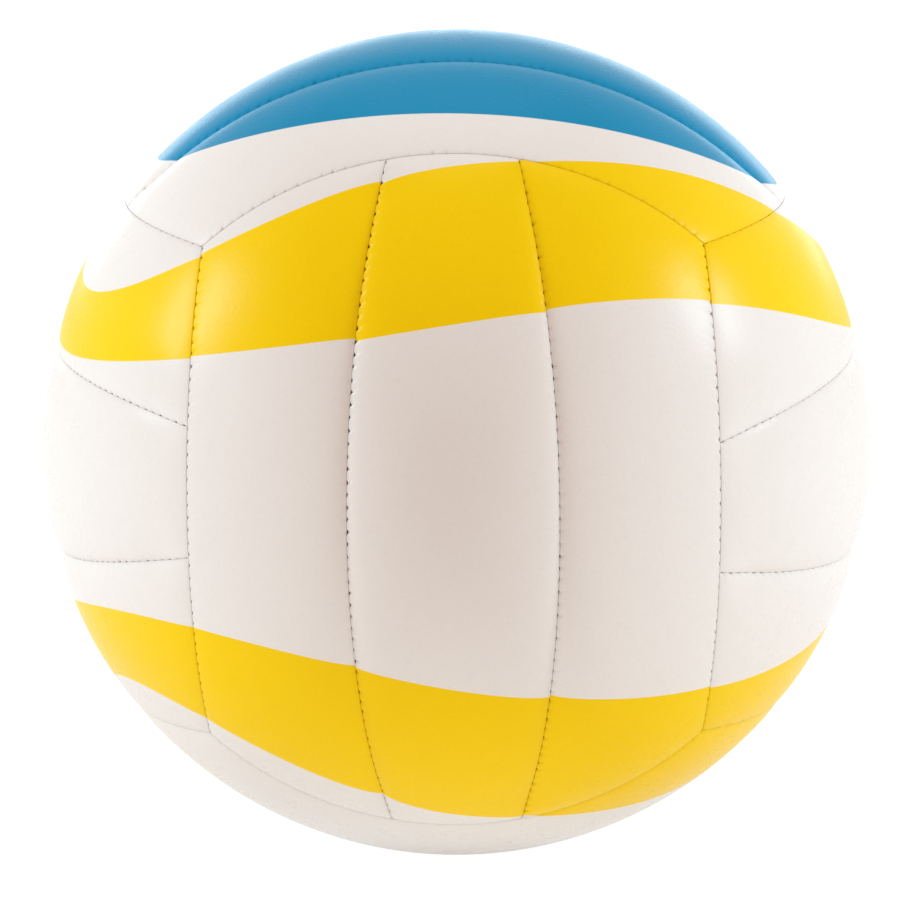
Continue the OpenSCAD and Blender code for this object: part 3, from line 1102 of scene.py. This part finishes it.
@dataclass
class Studio:
    """A plain white studio: floor, soft lamps, white surroundings and the camera."""

    layout: Layout
    softboxes: tuple[Softbox, ...] = (
        Softbox("left softbox", -88, 28, 1.6, (0.4, 0.5), 15.3),
        Softbox("right softbox", 87, 29, 1.6, (0.3, 0.42), 14.7),
        Softbox("top softbox", 180, 75, 1.6, (0.9, 0.9), 2.9),
        Softbox("back softbox", 180, 8, 2.0, (2.4, 0.5), 6.0),
    )
    lamp_tint: Colour = (0.73, 0.915, 1.0)
    ambience: float = 0.585
    ambience_tint: Colour = (1.0, 0.75, 0.63)
    floor_shade: float = 0.94
    floor_glow: float = 1.26
    glow_share: float = 0.28
    seen_glow_share: float = 0.42
    floor_size: float = 12.0
    floor_gap: float = 0.05
    camera_azimuth: float = math.radians(0.5106)
    camera_elevation: float = math.radians(11.1812)
    camera_roll: float = math.radians(-0.3773)
    camera_distance: float = 11.7756
    aim_left: float = 6.48
    aim_down: float = 7.39
    focal_pixels: float = 4854.8
    picture: float = 900.0
    sensor: float = 36.0
    clip: tuple[float, float] = (0.05, 60.0)

    def lay_floor(self) -> None:
        """Lays the floor under the ball."""
        bm = bmesh.new()
        bmesh.ops.create_grid(bm, x_segments=1, y_segments=1, size=self.floor_size / 2)
        bmesh.ops.translate(bm, verts=bm.verts[:], vec=(0, 0, -self.layout.radius - self.floor_gap * MM))
        floor = finished(bm, "floor", smooth=False)
        recipe = Recipe("pale floor")
        matt = recipe.node("ShaderNodeBsdfDiffuse", {}, {"Color": (*[self.floor_shade] * 3, 1.0)})
        glow = recipe.node("ShaderNodeEmission", {}, {"Color": (1, 1, 1, 1), "Strength": self.floor_glow})
        clear = recipe.node("ShaderNodeBsdfTransparent", {}, {})
        seen = recipe.node("ShaderNodeLightPath", {}, {}, "Is Camera Ray")
        under = recipe.node("ShaderNodeNewGeometry", {}, {}, "Backfacing")
        share = seen * self.seen_glow_share + self.glow_share
        lit = recipe.node("ShaderNodeMixShader", {}, {0: share, 1: matt, 2: glow})
        recipe.end(recipe.node("ShaderNodeMixShader", {}, {0: seen * under, 1: lit, 2: clear}))
        floor.data.materials.append(recipe.material)
        floor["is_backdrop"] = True

    def light(self) -> None:
        """Puts up the lamps and the white surroundings."""
        for softbox in self.softboxes:
            softbox.set_up(self.lamp_tint)
        world = bpy.data.worlds.new("white surroundings")
        bpy.context.scene.world = world
        world.use_nodes = True
        recipe = Recipe.on(world.node_tree)
        path = recipe.node("ShaderNodeLightPath", {}, {}, "Is Camera Ray")
        seen = path.most(path.sibling("Is Glossy Ray")).most(path.sibling("Is Transmission Ray"))
        sky = recipe.mix(seen, [self.ambience * part for part in self.ambience_tint], (1, 1, 1))
        recipe.end(recipe.node("ShaderNodeBackground", {}, {"Color": sky}), "ShaderNodeOutputWorld")

    def place_camera(self) -> None:
        """Places the scene's camera as the photograph was taken."""
        turn = (Matrix.Rotation(self.camera_azimuth, 3, "Z")
                @ Matrix.Rotation(math.pi / 2 - self.camera_elevation, 3, "X")
                @ Matrix.Rotation(self.camera_roll, 3, "Z"))
        right, up, back = (turn.col[index] for index in range(3))
        distance = self.camera_distance * self.layout.radius
        pixel = distance / self.focal_pixels
        aim = -right * self.aim_left * pixel - up * self.aim_down * pixel
        spot = back * distance
        look = (spot - aim).normalized()
        side = up.cross(look).normalized()
        lens = bpy.data.cameras.new("camera")
        lens.sensor_width = self.sensor
        lens.lens = self.focal_pixels / self.picture * self.sensor
        lens.clip_start, lens.clip_end = self.clip
        camera = bpy.data.objects.new("camera", lens)
        facing = Matrix((side, look.cross(side), look)).transposed()
        camera.matrix_world = Matrix.Translation(spot) @ facing.to_4x4()
        bpy.context.scene.collection.objects.link(camera)
        bpy.context.scene.camera = camera
        bpy.context.scene.view_settings.view_transform = "Standard"


@dataclass(frozen=True)
class InnerLayers:
    """The CAD nodes that stay: lining, bladder and patch, which only get their finishes."""

    lining: WovenCloth = WovenCloth("cotton lining", (0.90, 0.87, 0.78))
    bladder: MouldedRubber = MouldedRubber("bladder rubber", (0.05, 0.05, 0.05), 0.55)
    patch: WovenCloth = WovenCloth("patch cloth", (0.88, 0.84, 0.74), 0.6 * MM)

    def dress(self) -> None:
        """Puts each finish into the slots of the CAD nodes whose names end in these words."""
        finishes = {"_lining": self.lining.material(), "bladder": self.bladder.material(),
                    "valve_patch": self.patch.material()}
        for name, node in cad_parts.items():
            for material in (finishes[ending] for ending in finishes if name.endswith(ending)):
                if not node.material_slots:
                    node.data.materials.append(material)
                for slot in node.material_slots:
                    slot.material = material
                log.info("dressed %s", name)


def write_sizes() -> None:
    """Measures the CAD box and the visual model's box, in metres, as lists of corners, and does not write
    them anywhere.
    """
    boxes = {"cad": CAD_BOX, "visual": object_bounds()}
    {name: [list(corner) for corner in box] for name, box in boxes.items()}


def main() -> None:
    """Builds the ball's pieces in order, and then the studio around it."""
    logging.basicConfig(level=logging.INFO, format="%(name)s: %(message)s")
    layout = Layout()
    studio = Studio(layout)
    studio.place_camera()
    leather, foam = PrintedLeather().material(), ClosedFoam().material()
    valve = Valve(layout)
    for group in Group:
        for strip in Strip:
            layers = ((CoverPanel(layout, group, strip), leather), (FoamPad(layout, group, strip), foam))
            for layer, finish in layers:
                piece = layer.build()
                layer.dress(piece, finish)
                if group is Group.BACK and strip is Strip.MIDDLE:
                    valve.pierce(piece)
                log.info("built %s", piece.name)
    thread = TwistedThread().material()
    for group in Group:
        stitching = SeamStitching(layout, group)
        piece = stitching.build()
        stitching.dress(piece, thread)
        log.info("built %s", piece.name)
    boot, core = valve.build_boot(), valve.build_core()
    valve.dress(boot, core, MouldedRubber("boot rubber", (0.30, 0.30, 0.31)).material(),
                MouldedRubber("core rubber", (0.05, 0.05, 0.05), 0.5).material())
    log.info("built %s and %s", boot.name, core.name)
    InnerLayers().dress()
    studio.lay_floor()
    studio.light()
    write_sizes()


if __name__ == "__main__":
    main()
